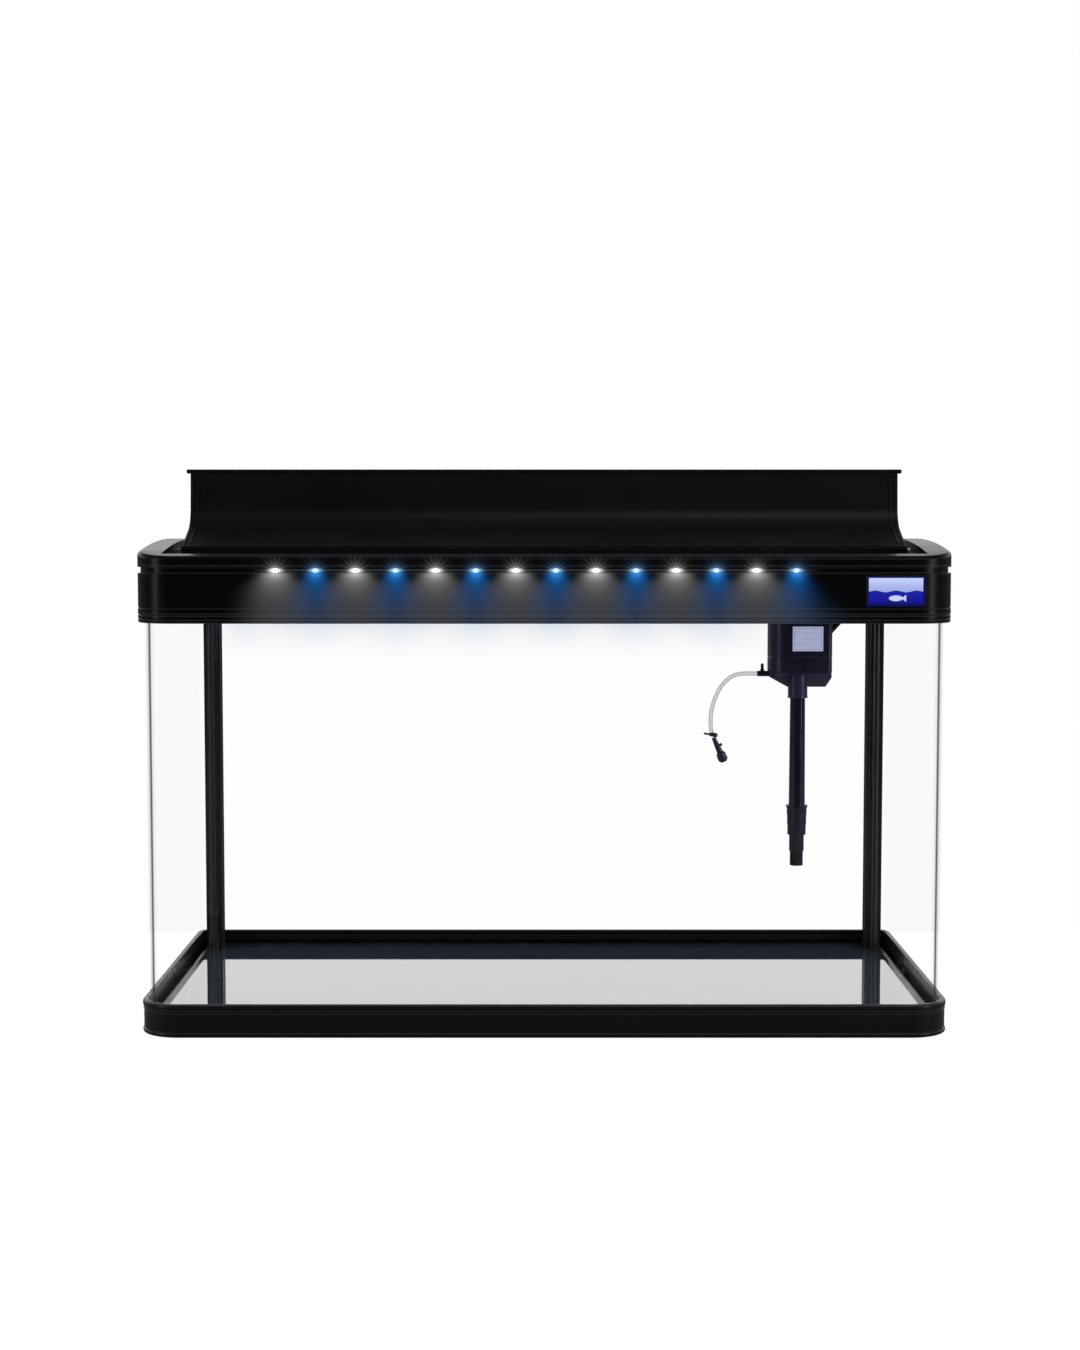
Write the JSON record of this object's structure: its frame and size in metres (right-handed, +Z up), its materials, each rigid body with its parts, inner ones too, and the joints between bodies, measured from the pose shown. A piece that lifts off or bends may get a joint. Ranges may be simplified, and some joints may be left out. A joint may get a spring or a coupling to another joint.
{
  "type": "desktop aquarium",
  "caption": "Rectangular bent-glass tank on a low moulded foot, under a lift-off lamp hood with an opening feeding lid and a hanging filter pump.",
  "frame": {"origin": "bottom centre of the tank's foot", "axes": "+X to the right along the tank, +Y to the back, +Z up"},
  "size_m": [0.6, 0.337, 0.4205],
  "materials": {
    "foot_plastic": "satin moulded",
    "soft_pad": "soft",
    "floor_glass": "polished",
    "clear_glass": "polished",
    "post_plastic": "ribbed extrusion",
    "sealant": "smooth",
    "hood_plastic": "polished",
    "lid_plastic": "satin",
    "steel": "polished",
    "lamp_bar": "smooth",
    "white_lens": "lit white",
    "blue_lens": "lit blue",
    "badge_enamel": "enamel",
    "inner_plastic": "plain moulded",
    "sponge": "open cell",
    "pump_plastic": "fine moulded",
    "pipe_plastic": "smooth",
    "label": "printed film, blank",
    "magnet": "sealed",
    "clear_hose": "clear",
    "lead_rubber": "smooth"
  },
  "bodies": {
    "tank": {"base_frame": "foot_plastic", "foot_pads": "soft_pad", "floor_glass": "floor_glass", "bent_glass": "clear_glass", "back_glass": "clear_glass", "left_rear_post": "post_plastic", "right_rear_post": "post_plastic", "floor_seal": "sealant", "outer_lead": "lead_rubber", "lead_hank": "lead_rubber", "hank_tie": "lead_rubber", "plug_body": "lead_rubber", "plug_pins": "steel"},
    "hood": {"hood_frame": "hood_plastic", "seat_pads": "soft_pad", "top_frame": "hood_plastic", "hinge_pins": "steel", "led_bar": "lamp_bar", "white_leds": "white_lens", "blue_leds": "blue_lens", "led_driver": "inner_plastic", "lamp_inlet": "inner_plastic", "badge": "badge_enamel", "filter_tray": "inner_plastic", "tray_floor": "inner_plastic", "filter_sponge": "sponge", "spray_pipe": "inner_plastic", "outlet_spout": "pump_plastic", "pump_body": "pump_plastic", "pump_cover": "pump_plastic", "pump_label": "label", "pump_clip": "pump_plastic", "rotor_shaft": "steel", "suction_collar": "pump_plastic", "suction_pipe": "pipe_plastic", "air_nipple": "pump_plastic", "air_tube": "clear_hose", "tube_clip": "pump_plastic", "air_valve": "pump_plastic", "lead_boot": "lead_rubber", "inner_lead": "lead_rubber", "lead_gland": "lead_rubber"},
    "lid": {"lid_panel": "lid_plastic", "lid_hem": "lid_plastic", "lid_flange": "lid_plastic", "lid_end_ribs": "lid_plastic"},
    "hatch": {"rear_hatch": "lid_plastic", "hatch_grip": "lid_plastic"},
    "rotor": {"rotor": "magnet"},
    "strainer": {"stepped_sleeve": "pipe_plastic", "strainer": "pipe_plastic"},
    "air_screw": {"air_screw": "pump_plastic"},
    "valve_knob": {"valve_knob": "pump_plastic"}
  },
  "joints": [
    {"name": "hood_lift", "type": "slide", "parent": "tank", "child": "hood", "axis": [0, 0, 1], "range_m": [0, 0.26]},
    {"name": "lid_hinge", "type": "hinge", "parent": "hood", "child": "lid", "pos_m": [0, -0.066, 0.3584], "axis": [1, 0, 0], "range_deg": [0, 126.3]},
    {"name": "hatch_lift", "type": "slide", "parent": "hood", "child": "hatch", "axis": [0, 0, 1], "range_m": [0, 0.08]},
    {"name": "rotor_spin", "type": "hinge", "parent": "hood", "child": "rotor", "pos_m": [0.2096, 0.06, 0.27], "axis": [0, 0, 1], "continuous": true},
    {"name": "strainer_pull", "type": "slide", "parent": "hood", "child": "strainer", "axis": [0, 0, -1], "range_m": [0, 0.03]},
    {"name": "air_screw_turn", "type": "hinge", "parent": "hood", "child": "air_screw", "pos_m": [0.1796, 0.06, 0.258], "axis": [0, 0, 1], "range_deg": [-180, 180]},
    {"name": "valve_turn", "type": "hinge", "parent": "hood", "child": "valve_knob", "pos_m": [0.1395, 0.06, 0.203], "axis": [0.4067, 0, -0.9135], "range_deg": [-180, 180]}
  ]
}
